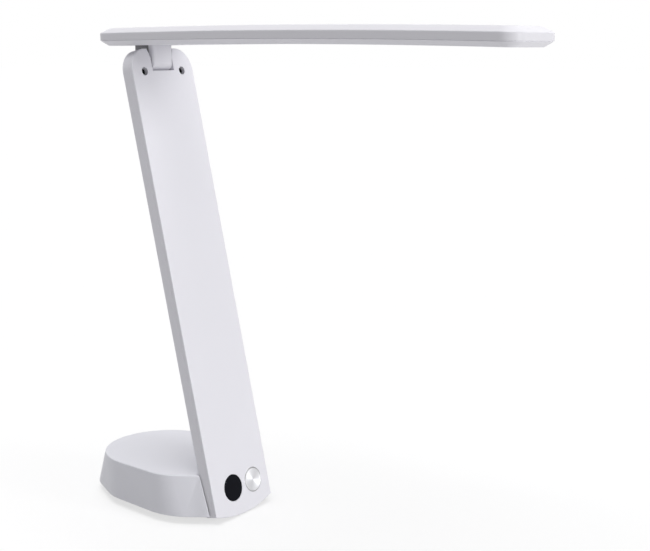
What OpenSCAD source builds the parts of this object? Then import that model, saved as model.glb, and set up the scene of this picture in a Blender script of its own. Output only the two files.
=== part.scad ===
// Folding LED desk lamp: a flat stem on a rounded base, a long slim head on top.
// Origin: on the table under the centre of the base's round rear. Front is -Y, up is +Z.
// The stem's own frame has its front face at y = 0, depth along +Y and its length along +Z.
// The head's own frame has its origin on the head hinge, with the tip towards -Y.

/* [Stance] */
// Angle by which the stem leans back
lean = 12.7; // [6:0.1:18]
// Distance from the base centre forward to the stem's lower front edge
stem_reach = 77; // [74:0.5:82]
// Air between the lowest point of the stem and the table
toe_gap = 0.8; // [0.5:0.1:3]
// Running clearance between pieces that fold past each other
fold_gap = 0.4; // [0.3:0.05:0.6]

/* [Stem] */
// Length of the stem from its lower corners to the ear tops
stem_len = 330; // [300:1:360]
// Width of the stem
stem_w = 65; // [62:0.5:68]
// Thickness of the stem
stem_t = 9.5; // [9.2:0.1:12]
// Rounding of the front edges
stem_front_r = 2.2; // [1:0.1:2.2]
// Rounding of the rear edges
stem_rear_r = 1.5; // [0.5:0.1:1.7]
// Radius of the upper corners
stem_top_r = 13; // [8:0.5:16]
// Drop of the rounded lower end below its corners
stem_arc = 5.4; // [3:0.1:8]
// Thickness of the front cover
cover_t = 2.3; // [2.2:0.1:2.5]
// Wall of the rear shell
stem_wall = 1.8; // [1.5:0.1:2]
// Number of stiffening ribs in the rear shell
stem_ribs = 6; // [3:1:8]
// Thickness of a stiffening rib
rib_t = 1.4; // [1:0.1:2]

/* [Clevis at the stem top] */
// Width of the slot between the ears
slot_w = 21.5; // [20.6:0.1:22.2]
// Depth of the slot
slot_h = 15.6; // [14.8:0.1:18]
// Height of the head hinge axis below the ear tops
axis_drop = 8.1; // [7:0.1:8.4]
// Radius of the head hinge pin
head_pin_r = 1.5; // [1.2:0.05:1.6]
// Distance of the two cover screws from the middle
ear_screw_x = 18.9; // [18.6:0.1:21]
// Distance of the two cover screws below the ear tops
ear_screw_drop = 16; // [15.5:0.1:18]
// Radius of the open screw recess
ear_recess_r = 2.9; // [2.7:0.1:3.2]

/* [Buttons] */
// Height of the window and the button above the stem's lower corners
button_up = 15; // [13:0.5:17]
// Distance of the black window from the middle
window_x = 8.5; // [8:0.1:9.5]
// Radius of the black window
window_r = 9.4; // [7:0.1:9.6]
// Distance of the metal button from the middle
button_x = 13.6; // [13:0.1:14.5]
// Radius of the metal button
button_r = 8.2; // [6.5:0.1:8.4]
// Wall of the ring round the metal button
ring_t = 0.6; // [0.4:0.05:0.8]
// Travel of the metal button
button_travel = 0.8; // [0.4:0.1:0.9]

/* [Head] */
// Length of the head
head_len = 329.4; // [310:0.1:350]
// Length of the head behind its hinge axis
head_rear = 33; // [30:0.5:40]
// Width of the head
head_w = 58; // [56:0.5:62]
// Height of the head's lower bevel
bevel_low_h = 3.6; // [3:0.1:4]
// Height of the upright band round the head
band_h = 5.1; // [4.6:0.1:7]
// Height of the head's upper bevel
bevel_top_h = 3.5; // [2.6:0.1:4]
// Width of both bevels seen from above
bevel_w = 8; // [6:0.5:9]
// Corner radius of the head seen from above
head_corner_r = 12; // [10:0.5:16]
// Radius of the slight upward bow along the head
camber_r = 7800; // [5000:100:20000]
// Distance from the head's tip to the top of the bow
crown_from_tip = 203; // [150:1:240]
// Wall of the head's two shells
head_wall = 1.8; // [1.4:0.1:2]
// Thickness of the floor of the head frame
floor_t = 2.4; // [2.2:0.1:2.6]
// Height from the hinge axis to the underside of the head
head_rise = 11.5; // [10.8:0.1:14]

/* [Light] */
// Distance from the edge of the head to the light opening
light_edge = 11; // [10.5:0.5:14]
// Distance from the hinge axis to the near end of the light opening
light_start = 44; // [40:1:60]
// Thickness of the LED board
board_t = 1; // [0.8:0.1:1.2]
// Number of LEDs along the board
led_count = 20; // [8:1:22]
// Distance between the two rows of LEDs
led_row_gap = 14; // [10:1:20]

/* [Head hinge] */
// Width of the tongue that carries the head
tongue_w = 19.4; // [18.6:0.1:19.8]
// Reach of the tongue in front of the axis
tongue_front = 5.2; // [4.6:0.1:6]
// Reach of the tongue behind the axis
tongue_back = 11.8; // [10:0.1:12.5]
// Reach of the tongue below the axis
tongue_below = 6.2; // [5:0.1:6.3]
// Rounding of the tongue's lower corners
tongue_corner_r = 3; // [1.5:0.1:4]

/* [Base] */
// Height of the base's rim above the table
rim_h = 34.2; // [33:0.1:38]
// Radius of the round rear of the rim
base_r = 43.7; // [43:0.1:46]
// Radius of the rounded rear end of the foot
tail_r = 32; // [31:0.5:36]
// How far the rear end of the foot stands out behind the rim
tail_run = 12.8; // [9:0.1:14]
// Half the width across the front of the rim
front_half = 46.3; // [45.5:0.1:48]
// How far the sides of the foot stand out past the rim
side_flare = 1.6; // [0.5:0.1:3]
// Radius of the front corners at the rim
corner_r = 30.8; // [28:0.2:33]
// Radius of the front corners at the foot
corner_foot_r = 44.4; // [38:0.2:45]
// Distance of the front corner centres in front of the base centre
corner_fwd = 30.8; // [29:0.1:34]
// Extra forward shift of the corner centres at the foot of the wall
corner_lean = 4.1; // [3:0.1:8]
// Rounding of the rim
rim_r = 1.4; // [0.8:0.1:2]
// Wall of the base shell
base_wall = 2.5; // [2:0.1:3]
// Height of the base shell's lower edge above the table
shell_low = 5.4; // [5:0.1:5.8]
// Depth of stem side left in view at the rim
cheek_top = 7.7; // [6.5:0.1:8.5]
// Depth of stem side left in view at the foot of the base
cheek_low = 5.2; // [4.5:0.1:7]
// Thickness of the cheeks beside the stem
cheek_t = 0.8; // [0.6:0.1:1.4]

/* [Bottom plate and feet] */
// Thickness of the bottom plate
plate_t = 3; // [2.4:0.1:3.6]
// Height of a rubber foot under the plate
foot_h = 4.4; // [4:0.1:4.6]
// Radius of a rubber foot
foot_r = 6; // [5:0.5:7]
// Height of the cast ballast weight
ballast_h = 6.5; // [5:0.5:10]
// Air round the ballast weight inside the shell
ballast_air = 6; // [4:0.5:9]

/* [Fold hinge] */
// Distance from the rear of the stem to the fold axis
fold_r = 4.5; // [4.2:0.1:4.8]
// Radius of the fold hinge's knuckles
knuckle_r = 3.6; // [3.2:0.1:3.7]
// Half width of the hinge barrel
barrel_half = 18; // [14:0.5:20]
// Half width of the middle knuckle
middle_half = 7; // [5:0.5:9]
// Radius of the fold hinge pin
fold_pin_r = 1.5; // [1.2:0.05:1.8]
// Thickness of the hinge's steel leaves
leaf_t = 1.2; // [1:0.1:1.2]

/* [Power inlet] */
// Height of the inlet's centre above the table
inlet_z = 21.5; // [21:0.5:22.5]
// Radius of the inlet's round nose
inlet_r = 4; // [3.6:0.1:4.4]
// Radius of the socket in the inlet
socket_r = 2.8; // [2.6:0.05:2.9]
// Radius of the contact pin in the socket
contact_r = 1.05; // [0.8:0.05:1.2]
// Depth of the socket
socket_depth = 9.5; // [8:0.5:10]

/* [Hidden] */

// Clearances by name
run = 0.05;            // radial running clearance of a pin
snug = 0.15;           // clearance of a piece that drops into its place
eps = 0.01;            // thickness of the slices that a hull joins
big = 400;             // larger than any piece
arc_fn = 32;           // sides of hulled rounds
round_fn = 64;         // sides of exact rounds

// Screws: one small and one smaller size
screw_r = 1.2;
screw_head_r = 2.5;
screw_head_h = 1.2;

// Stance of the stem and places of the two hinge axes
stem_lift = stem_arc * cos(lean) + toe_gap;
stem_arc_r = (pow(stem_w / 2, 2) + pow(stem_arc, 2)) / (2 * stem_arc);
axis_depth = stem_t / 2;
axis_w = stem_len - axis_drop;
function stem_point(d, w) = [0, -stem_reach + d * cos(lean) + w * sin(lean),
    stem_lift - d * sin(lean) + w * cos(lean)];
head_axis = stem_point(axis_depth, axis_w);
fold_z = rim_h + fold_gap - fold_r;
fold_depth = stem_t + fold_r;
fold_w = (fold_z - stem_lift + fold_depth * sin(lean)) / cos(lean);
fold_axis = stem_point(fold_depth, fold_w);

// Levels inside the stem, counted from its front face
rear_in = stem_t - stem_wall;
leaf_front = rear_in - leaf_t;
pcb_t = 1;
pcb_front = leaf_front - 0.2 - pcb_t;
flange_t = 0.6;
flange_extra = 0.9;
proud = 0.3;

// Levels of the head, counted from its underside
head_front = head_len - head_rear;
band_top = bevel_low_h + band_h;
head_t = band_top + bevel_top_h;
ceiling = head_t - head_wall;
crown_y = crown_from_tip - head_front;
function camber(y) = (pow(crown_y, 2) - pow(y - crown_y, 2)) / (2 * camber_r);

// Stem frame and head frame
module at_stem() { translate([0, -stem_reach, stem_lift]) rotate([-lean, 0, 0]) children(); }
module at_head() { translate(head_axis) children(); }
module at_fold() { translate(fold_axis) children(); }
module both() { children(); mirror([1, 0, 0]) children(); }

// A cylinder that starts at the given place in the stem and runs into its depth
module deep(x, d, w, r, h) {
    translate([x, d, w]) rotate([-90, 0, 0]) cylinder(r = r, h = h, $fn = round_fn);
}
// A cylinder along X, from x to x + h
module across(x, r, h) { translate([x, 0, 0]) rotate([0, 90, 0]) cylinder(r = r, h = h, $fn = round_fn); }
// A box given by its low and high corners
module span(a, b) { translate(a) cube(b - a); }

// A disc with rounded rims, from depth d0 to d1: the corner piece of the stem's outline
module soft_disc(r, d0, d1, r0, r1) {
    steps = 5;
    low = [for (i = [0:steps]) let (a = 90 * i / steps) [r - r0 + r0 * sin(a), d0 + r0 - r0 * cos(a)]];
    high = [for (i = [0:steps]) let (a = 90 * i / steps) [r - r1 + r1 * cos(a), d1 - r1 + r1 * sin(a)]];
    rotate([-90, 0, 0]) rotate_extrude() polygon(concat([[0, d0]], low, high, [[0, d1]]));
}

// The stem's solid outline, drawn in by inset, between two depths
module stem_form(inset, d0, d1, r0, r1) {
    half = stem_w / 2 - inset;
    top_r = stem_top_r - inset;
    low_r = 3;
    intersection() {
        hull() {
            for (s = [-1, 1]) {
                translate([s * (half - top_r), 0, stem_len - inset - top_r])
                    soft_disc(top_r, d0, d1, r0, r1, $fn = 48);
                translate([s * (half - low_r), 0, -stem_arc - 10])
                    soft_disc(low_r, d0, d1, min(r0, low_r), min(r1, low_r), $fn = arc_fn);
            }
        }
        translate([0, 0, stem_arc_r - stem_arc]) union() {
            rotate([-90, 0, 0]) arc_disc(stem_arc_r - inset, d0, d1, r0, r1);
            span([-stem_w, d0 - 1, 0], [stem_w, d1 + 1, big]);
        }
    }
}
// The large disc that rounds the lower end, with its rims rounded by true arcs
module arc_disc(r, d0, d1, r0, r1) {
    rotate_extrude($fn = 180) {
        translate([0, d0 + r0]) square([r, d1 - d0 - r0 - r1]);
        translate([0, d0]) square([r - r0, d1 - d0]);
        translate([0, d0]) square([r - max(r0, r1), d1 - d0]);
        if (r0 > 0) translate([r - r0, d0 + r0]) circle(r0, $fn = arc_fn);
        if (r1 > 0) translate([r - r1, d1 - r1]) circle(r1, $fn = arc_fn);
    }
}
// The slot between the two ears
module slot(extra) {
    span([-slot_w / 2 - extra, -1, stem_len - slot_h - extra],
        [slot_w / 2 + extra, stem_t + 1, stem_len + 1]);
}

// Base form: the rounds of the outline, in slices at rising heights, are joined by one hull
function base_share(z) = (rim_h - z) / (rim_h - shell_low);
function cheek_y(z) = let (k = base_share(z), d = cheek_top + (cheek_low - cheek_top) * k)
    -stem_reach + d / cos(lean) + (z - stem_lift) * tan(lean);
cheek_x = stem_w / 2 + fold_gap + cheek_t;

module base_slice(z, inset) {
    k = base_share(z);
    front_r = corner_r + (corner_foot_r - corner_r) * k;
    tip_r = 0.4;
    translate([0, 0, z]) linear_extrude(eps) {
        circle(base_r - inset, $fn = 96);
        translate([0, base_r - tail_r + tail_run * k]) circle(tail_r - inset, $fn = 96);
        for (s = [-1, 1]) {
            translate([s * (front_half + side_flare * k - front_r), -corner_fwd - corner_lean * k])
                circle(front_r - inset, $fn = 96);
            translate([s * (cheek_x - inset - tip_r), cheek_y(z) + inset + tip_r])
                circle(tip_r, $fn = 16);
        }
    }
}
module base_form(inset, low, high, edge_low, edge_high) {
    hull() {
        base_slice(low, inset + edge_low);
        base_slice(low + edge_low, inset);
        base_slice(high - edge_high, inset);
        base_slice(high - edge_high * 0.3, inset + edge_high * 0.3);
        base_slice(high - eps, inset + edge_high);
    }
}
// Everything deeper than d behind the stem's front face
module behind(d) { at_stem() span([-big, d, -big], [big, big, big]); }

// Screws: the head lies at the origin and the shank runs up +Z
module screw(len, head_r = screw_head_r, head_h = screw_head_h) {
    difference() {
        translate([0, 0, -head_h]) cylinder(r = head_r, h = head_h, $fn = round_fn);
        for (a = [0, 90]) rotate(a)
            span([-head_r * 0.6, -0.3, -head_h - 1], [head_r * 0.6, 0.3, -head_h / 2]);
    }
    cylinder(r = screw_r, h = len, $fn = round_fn);
}

// Places of the plate screws, the feet and the bracket screws under the base
plate_low = foot_h;
plate_top = plate_low + plate_t;
foot_sink = 0.8;
screw_rear_edge = 14.7;   // from the round rear's side to a rear screw
screw_front_edge = 13.3;  // from the base's side to a front screw
foot_rear_edge = 24.7;
foot_front_edge = 22.3;
screw_rear_x = base_r - screw_rear_edge;
screw_front_x = front_half - screw_front_edge;
foot_rear_x = base_r - foot_rear_edge;
foot_front_x = front_half - foot_front_edge;
plate_screw_xy = [[-screw_rear_x, 22], [screw_rear_x, 22], [-screw_front_x, -38], [screw_front_x, -38]];
foot_xy = [[-foot_rear_x, 32], [foot_rear_x, 32], [-foot_front_x, -48], [foot_front_x, -48]];
plate_screw_len = 12;
bracket_screw_y = 15;
bracket_screw_x = 12;
bracket_top = fold_z - 1;
bracket_t = 2;
bracket_bite = 1.5;

module base_shell() {
    color("whitesmoke") {
        difference() {
            base_form(0, shell_low, rim_h, 1, rim_r);
            intersection() {
                base_form(base_wall, shell_low - 3, rim_h - base_wall, 0, rim_r);
                behind(stem_t + fold_gap + base_wall);
            }
            // Bay for the stem, with a cheek left on each side
            at_stem() span([-stem_w / 2 - fold_gap, -big, -big],
                [stem_w / 2 + fold_gap, stem_t + fold_gap, big]);
            fold_relief();
            at_fold() across(-barrel_half - 1.6, knuckle_r + 0.8, 2 * barrel_half + 3.2);
            inlet_hole();
        }
        for (p = plate_screw_xy) {
            translate([p[0], p[1], plate_top]) tube(3.6, screw_r, rim_h - base_wall - plate_top);
        }
        // Bosses for the hinge bracket hang from the top
        both() {
            translate([bracket_screw_x, fold_axis[1] + bracket_screw_y, bracket_top])
                tube(3.4, screw_r, rim_h - base_wall - bracket_top);
        }
        inlet_cradle();
    }
}
// Rounds the base's upper front edge about the fold axis, so that the stem can roll over it
module fold_relief() {
    reach = fold_r - fold_gap;
    at_fold() difference() {
        intersection() {
            rotate([-lean, 0, 0]) span([-stem_w / 2 - fold_gap, -big, 0], [stem_w / 2 + fold_gap, 0, big]);
            span([-stem_w / 2 - fold_gap, -big, 0], [stem_w / 2 + fold_gap, 0, big]);
        }
        across(-stem_w, reach, 2 * stem_w);
    }
}
// A tube with a blind bore from below
module tube(r, bore, h) {
    difference() {
        cylinder(r = r, h = h, $fn = round_fn);
        translate([0, 0, -1]) cylinder(r = bore + 0.02, h = h, $fn = round_fn);
    }
}

module bottom_plate() {
    color("gainsboro") difference() {
        intersection() {
            hull() {
                base_slice(plate_low, base_wall + snug + 1);
                base_slice(plate_low + 1, base_wall + snug);
                base_slice(plate_top - eps, base_wall + snug);
            }
            behind(stem_t + fold_gap + base_wall + snug);
        }
        for (p = foot_xy) {
            translate([p[0], p[1], plate_low - 1])
                cylinder(r = foot_r + snug, h = 1 + foot_sink, $fn = round_fn);
        }
        for (p = plate_screw_xy) translate([p[0], p[1], plate_low]) {
            translate([0, 0, -1])
                cylinder(r = screw_head_r + 0.3, h = 1 + screw_head_h + 0.4, $fn = round_fn);
            cylinder(r = screw_r + 0.2, h = plate_t + 1, $fn = round_fn);
        }
    }
}
module ballast_weight() {
    inset = base_wall + ballast_air;
    color("dimgray") difference() {
        intersection() {
            hull() {
                base_slice(plate_top, inset);
                base_slice(plate_top + ballast_h, inset);
            }
            behind(stem_t + fold_gap + base_wall + ballast_air);
        }
        for (p = plate_screw_xy) {
            translate([p[0], p[1], 0]) cylinder(r = 4.4, h = big, $fn = round_fn);
        }
    }
}
module rubber_feet() {
    color("darkslategray") for (p = foot_xy) translate([p[0], p[1], 0]) {
        cylinder(r1 = foot_r - 0.6, r2 = foot_r, h = 0.8, $fn = round_fn);
        translate([0, 0, 0.8]) cylinder(r = foot_r, h = foot_h + foot_sink - 0.8, $fn = round_fn);
    }
}
module plate_screws() {
    color("silver") for (p = plate_screw_xy) {
        translate([p[0], p[1], plate_low + screw_head_h + 0.4]) screw(plate_screw_len);
    }
}

// Power inlet in the rear wall
inlet_y = base_r + tail_run * base_share(inlet_z);
inlet_body_h = 9.5;
inlet_body_len = 13;
tail_slope = tail_run / (rim_h - shell_low);
inlet_sunk = 1.5;
inlet_face = inlet_y - inlet_sunk;
inlet_nose = base_wall + tail_slope * inlet_body_h / 2 - inlet_sunk + 0.8;
module inlet_hole() {
    translate([0, 0, inlet_z]) rotate([-90, 0, 0]) cylinder(r = inlet_r + snug, h = big, $fn = round_fn);
}
module inlet_cradle() {
    low = inlet_z - inlet_body_h / 2;
    intersection() {
        span([-6, inlet_face - inlet_nose - inlet_body_len, low - 2], [6, inlet_y, low]);
        base_form(1, shell_low, rim_h, 0, 0);
    }
}
module power_inlet() {
    color("dimgray") difference() {
        union() {
            translate([0, inlet_face - inlet_nose, inlet_z]) rotate([-90, 0, 0])
                cylinder(r = inlet_r, h = inlet_nose, $fn = round_fn);
            span([-4.5, inlet_face - inlet_nose - inlet_body_len, inlet_z - inlet_body_h / 2],
                [4.5, inlet_face - inlet_nose, inlet_z + inlet_body_h / 2]);
        }
        translate([0, inlet_face - socket_depth, inlet_z]) rotate([-90, 0, 0])
            cylinder(r = socket_r, h = big, $fn = round_fn);
    }
}
module inlet_contact() {
    color("gold") translate([0, inlet_face - socket_depth, inlet_z]) rotate([-90, 0, 0])
        cylinder(r = contact_r, h = socket_depth - 1, $fn = round_fn);
}

// Fold hinge: one knuckle on the base, two on the stem, one pin
module fold_bracket() {
    color("silver") at_fold() difference() {
        union() {
            across(-middle_half, knuckle_r, 2 * middle_half);
            span([-middle_half, 0, bracket_top - bracket_t - fold_z],
                [middle_half, 8, bracket_top - fold_z]);
            span([-bracket_screw_x - 5, 6.5, bracket_top - bracket_t - fold_z],
                [bracket_screw_x + 5, bracket_screw_y + 6, bracket_top - fold_z]);
        }
        across(-big / 2, fold_pin_r + 0.02, big);
        both() translate([bracket_screw_x, bracket_screw_y, -big / 2])
            cylinder(r = screw_r + 0.2, h = big, $fn = round_fn);
    }
}
module fold_bracket_screws() {
    seat = [bracket_screw_x, fold_axis[1] + bracket_screw_y, bracket_top - bracket_t];
    color("gray") both() translate(seat) screw(bracket_t + bracket_bite);
}
module fold_pin() {
    color("gray") at_fold() {
        across(-barrel_half - run, fold_pin_r, 2 * barrel_half + 2 * run);
        both() across(barrel_half + run, fold_pin_r + 0.9, 1);
    }
}
washer_gap = 0.5;
module fold_washers() {
    color("black") at_fold() both() difference() {
        across(middle_half + run, knuckle_r - 0.3, washer_gap - 2 * run);
        across(0, fold_pin_r + 0.02, big);
    }
}
module fold_leaf() {
    arm_h = 3;
    color("silver") at_stem() difference() {
        union() {
            span([-barrel_half - 3, leaf_front, fold_w - leaf_below],
                [barrel_half + 3, rear_in, fold_w + leaf_above]);
            both() {
                span([middle_half + washer_gap, leaf_front, fold_w - arm_h / 2],
                    [barrel_half, fold_depth, fold_w + arm_h / 2]);
                translate([0, fold_depth, fold_w])
                    across(middle_half + washer_gap, knuckle_r, barrel_half - middle_half - washer_gap);
            }
        }
        translate([0, fold_depth, fold_w]) across(-big / 2, fold_pin_r + run, big);
        both() deep(leaf_screw_x, 0, leaf_screw_w, screw_r + 0.2, stem_t);
    }
}
leaf_below = 12;
leaf_above = 24;
leaf_screw_x = 14;
leaf_screw_w = fold_w + leaf_above - 6;
module fold_leaf_screws() {
    color("gray") at_stem() both() translate([leaf_screw_x, leaf_front, leaf_screw_w]) rotate([-90, 0, 0])
        screw(leaf_t + 1.1);
}

// Stem shells
module stem_outer(d0, d1, r0, r1) {
    difference() {
        stem_form(0, d0, d1, r0, r1);
        slot(0);
    }
}
module stem_front_cover() {
    boss_d = cover_t + ear_boss_t;
    color("white") at_stem() difference() {
        union() {
            stem_outer(0, cover_t, stem_front_r, 0);
            both() deep(ear_screw_x, cover_t - 0.5, ear_w, ear_recess_r + 1.2, boss_d - cover_t + 0.5);
            cover_lip();
        }
        both() deep(ear_screw_x, -1, ear_w, ear_recess_r, boss_d);
        both() deep(ear_screw_x, -1, ear_w, screw_r + 0.2, stem_t);
        deep(-window_x, -1, button_up, window_r + snug, stem_t);
        deep(button_x, -1, button_up, button_r + snug + ring_t, stem_t);
    }
}
ear_w = stem_len - ear_screw_drop;
ear_boss_t = 2.2;
ear_seat = cover_t + ear_boss_t - 1;
// A lip on the cover drops inside the walls of the rear shell
module cover_lip() {
    inset = stem_wall + snug;
    difference() {
        intersection() {
            stem_form(inset, cover_t - 0.5, cover_t + 1.2, 0, 0);
            span([-big, 0, -big], [big, stem_t, stem_len - slot_h - 12]);
        }
        intersection() {
            stem_form(inset + 1.2, cover_t - 1, cover_t + 2, 0, 0);
            span([-big, 0, -big], [big, stem_t, stem_len - slot_h - 13.2]);
        }
    }
}
module stem_rear_shell() {
    color("white") at_stem() difference() {
        union() {
            difference() {
                stem_outer(cover_t, stem_t, 0, stem_rear_r);
                difference() {
                    stem_form(stem_wall, cover_t - 1, rear_in, 0, 0);
                    slot(1.2);
                }
            }
            both() deep(ear_screw_x, cover_t + ear_boss_t, ear_w, 3.2,
                rear_in - cover_t - ear_boss_t + 0.1);
            stem_rib_set();
        }
        both() deep(ear_screw_x, 0, ear_w, screw_r + 0.02, rear_in + 0.8);
        both() deep(leaf_screw_x, 0, leaf_screw_w, screw_r + 0.02, rear_in + 1.2);
        both() deep(bracket_bolt_x, 0, bracket_bolt_w, screw_r + 0.02, rear_in + 1.2);
        // Bores through the inner walls of the ears, and windows for the knuckle arms
        translate([0, axis_depth, axis_w]) across(-slot_w, head_pin_r + 0.2, 2 * slot_w);
        both() span([middle_half + washer_gap - 0.25, rear_in - 1, fold_w - 1.8],
            [barrel_half + 0.25, stem_t + 1, fold_w + 1.8]);
    }
}
module stem_rib_set() {
    rib_end_gap = 40;
    rib_low = fold_w + rib_end_gap;
    rib_high = stem_len - slot_h - rib_end_gap;
    step = (rib_high - rib_low) / (stem_ribs - 1);
    for (i = [0:stem_ribs - 1]) {
        difference() {
            span([-stem_w / 2 + 1, cover_t + 1.4, rib_low + i * step],
                [stem_w / 2 - 1, rear_in + 0.5, rib_low + i * step + rib_t]);
            span([-4, 0, 0], [4, rear_in, big]);
        }
    }
}
module cover_screws() {
    color("dimgray") at_stem() both() translate([ear_screw_x, ear_seat, ear_w]) rotate([-90, 0, 0])
        screw(rear_in + 0.6 - ear_seat);
}

// Steel bracket in the ears that holds the head hinge pin
lug_x = slot_w / 2 + 1.25;
lug_t = 2.2;
yoke_h = 11;
yoke_half = 24;
yoke_t = 1.4;
bracket_low = stem_len - slot_h - yoke_h - 4;
bracket_bolt_x = 19;
bracket_bolt_w = bracket_low + 5;
module head_hinge_bracket() {
    color("silver") at_stem() difference() {
        union() {
            span([-yoke_half, rear_in - yoke_t, bracket_low], [yoke_half, rear_in, bracket_low + yoke_h]);
            both() {
                span([lug_x, cover_t + 0.3, bracket_low + 5], [lug_x + lug_t, rear_in, axis_w]);
                intersection() {
                    translate([0, axis_depth, axis_w]) across(lug_x, rear_in - axis_depth, lug_t);
                    span([0, cover_t + 0.3, 0], [big, rear_in, big]);
                }
            }
        }
        translate([0, axis_depth, axis_w]) across(-big / 2, head_pin_r + 0.02, big);
        both() deep(bracket_bolt_x, 0, bracket_bolt_w, screw_r + 0.2, stem_t);
    }
}
module bracket_screws() {
    color("gray") at_stem() both() translate([bracket_bolt_x, rear_in - yoke_t, bracket_bolt_w])
        rotate([-90, 0, 0]) screw(yoke_t + 1.1);
}
module head_hinge_pin() {
    color("gray") at_head() {
        across(-lug_x - lug_t - run, head_pin_r, 2 * (lug_x + lug_t + run));
        both() across(lug_x + lug_t + run, head_pin_r + 0.7, 0.9);
    }
}
module head_hinge_washers() {
    gap = (slot_w - tongue_w) / 2;
    color("black") at_head() both() difference() {
        across(tongue_w / 2 + run, 3.8, gap - 2 * run);
        across(0, head_pin_r + 0.02, big);
    }
}

// Controls behind the front cover
pcb_half = 24;
pcb_above = 10;
module control_board() {
    color("darkgreen") at_stem() difference() {
        span([-pcb_half, pcb_front, 3], [pcb_half, pcb_front + pcb_t, fold_w + pcb_above]);
        span([-2.5, 0, 3], [2.5, stem_t, 6]);
    }
}
switch_front = cover_t + run + flange_t + button_travel + run;
module tact_switch() {
    color("dimgray") at_stem() {
        span([button_x - 3, switch_front + 0.5, button_up - 3], [button_x + 3, pcb_front, button_up + 3]);
        deep(button_x, switch_front, button_up, 1.7, 0.6);
    }
}
module touch_pad() {
    color("gold") at_stem() difference() {
        deep(-window_x, cover_t + run + flange_t, button_up, 5, pcb_front - cover_t - run - flange_t);
        deep(-window_x, 0, button_up, 3.4, stem_t);
    }
}
module touch_window() {
    color("black") at_stem() {
        deep(-window_x, -0.1, button_up, window_r, cover_t + 0.2);
        deep(-window_x, cover_t + run, button_up, window_r + flange_extra, flange_t);
    }
}
module button_ring() {
    color("silver") at_stem() difference() {
        deep(button_x, -0.2, button_up, button_r + snug + ring_t - 0.02, cover_t + 0.2);
        deep(button_x, -1, button_up, button_r + snug, stem_t);
    }
}
module power_button() {
    color("lightgray") at_stem() {
        deep(button_x, -proud, button_up, button_r, cover_t + proud + run + 0.1);
        deep(button_x, cover_t + run, button_up, button_r + flange_extra, flange_t);
    }
}
module stem_wires() {
    wire_r = 0.8;
    wire_low = fold_w + leaf_above + 1;
    color("crimson") at_stem() for (s = [-1, 1]) {
        translate([s * wire_r * 1.5, rear_in - wire_r - 0.1, wire_low])
            cylinder(r = wire_r, h = bracket_low - 1 - wire_low, $fn = 24);
    }
}

// Head form. A ring is the outline seen from above, drawn in by an inset.
arc_steps = 8;
side_steps = 10;
function ring_side(inset, y0, y1, half, r) = let (rr = r - inset, c0 = y0 + r, c1 = y1 - r,
        cx = half - r) concat(
    [for (i = [0:arc_steps]) let (a = -90 + 90 * i / arc_steps) [cx + rr * cos(a), c0 + rr * sin(a)]],
    [for (i = [1:side_steps - 1]) [cx + rr, c0 + (c1 - c0) * i / side_steps]],
    [for (i = [0:arc_steps]) let (a = 90 * i / arc_steps) [cx + rr * cos(a), c1 + rr * sin(a)]]);
function full_ring(side) = concat(side, [for (i = [len(side) - 1:-1:0]) [-side[i][0], side[i][1]]]);

// Joins rings at rising levels into one solid that follows the head's bow
module bowed(levels, y0, y1, half, r) {
    side_n = len(ring_side(0, y0, y1, half, r));
    m = 2 * side_n;
    top = (len(levels) - 1) * m;
    points = [for (l = levels) for (p = full_ring(ring_side(l[0], y0, y1, half, r)))
        [p[0], p[1], l[1] + head_rise + camber(p[1])]];
    walls = [for (k = [0:len(levels) - 2]) for (i = [0:m - 1]) let (j = (i + 1) % m, a = k * m)
        each [[a + i, a + m + i, a + m + j], [a + i, a + m + j, a + j]]];
    low_cap = [for (i = [0:side_n - 2]) [i, i + 1, m - 2 - i, m - 1 - i]];
    high_cap = [for (i = [0:side_n - 2]) [top + m - 1 - i, top + m - 2 - i, top + i + 1, top + i]];
    polyhedron(points, concat(walls, low_cap, high_cap));
}
module head_form(levels) { bowed(levels, -head_front, head_rear, head_w / 2, head_corner_r); }
// A plate with rounded corners that follows the bow
module bowed_plate(y0, y1, half, r, low, high) { bowed([[0, low], [0, high]], y0, y1, half, r); }

light_y0 = -head_front + light_edge;
light_half = head_w / 2 - light_edge;
light_r = 4;
tongue_screw_x = 13;
tongue_screw_y = [-14, 20];
tongue_screw_len = 7;
flange_top = floor_t + 2.2;
flange_half = 17;
flange_y = [-19, 25];
slope = bevel_w / bevel_top_h;
module head_top_shell() {
    in_w = head_wall;
    color("white") at_head() difference() {
        union() {
            difference() {
                head_form([[0, bevel_low_h], [0, band_top], [bevel_w, head_t]]);
                head_form([[in_w, bevel_low_h - 1], [in_w, band_top - 0.4],
                    [in_w + (ceiling - band_top + 0.4) * slope, ceiling]]);
            }
            for (y = tongue_screw_y) both() {
                translate([tongue_screw_x, y, head_rise + flange_top])
                    cylinder(r = 3, h = ceiling - flange_top + 0.5, $fn = round_fn);
            }
        }
        for (y = tongue_screw_y) both() {
            translate([tongue_screw_x, y, head_rise])
                cylinder(r = screw_r + 0.02, h = ceiling - 0.6, $fn = round_fn);
        }
    }
}
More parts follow.
